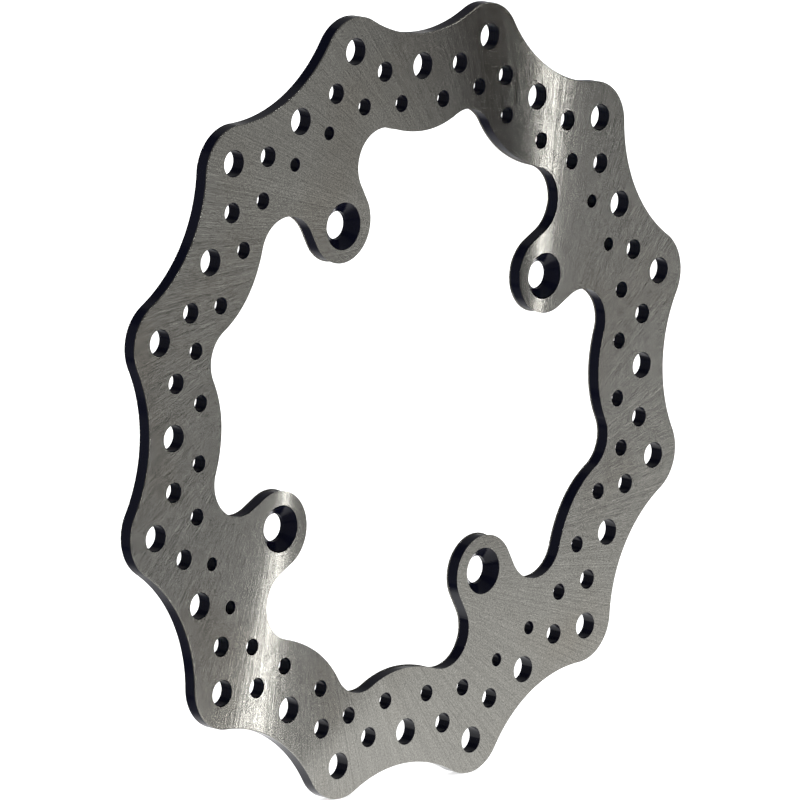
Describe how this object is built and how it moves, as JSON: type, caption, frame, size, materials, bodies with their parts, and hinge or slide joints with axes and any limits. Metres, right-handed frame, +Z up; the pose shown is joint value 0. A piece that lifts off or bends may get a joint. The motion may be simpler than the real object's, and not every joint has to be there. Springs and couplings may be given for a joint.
{
  "type": "brake disc",
  "caption": "One-piece motorcycle brake disc: a flat steel ring with a lobed rim, a drilled band and inner ears with countersunk holes for the hub bolts.",
  "frame": {"origin": "centre of the bolt circle, on the plane of the inner face that seats on the hub", "axes": "+Y along the spin axis from the countersunk outer face towards the hub; +Z up with the disc upright as on a wheel; the ears stand at 30, 120, 210 and 300 degrees from +X, seen from the outer face"},
  "size_m": [0.2376, 0.0045, 0.2376],
  "materials": {
    "ground_steel": "ground stainless faces with fine grinding lines; cut edges and bores coated glossy blue-black"
  },
  "bodies": {
    "root": {"brake_disc": "ground_steel"}
  },
  "joints": []
}
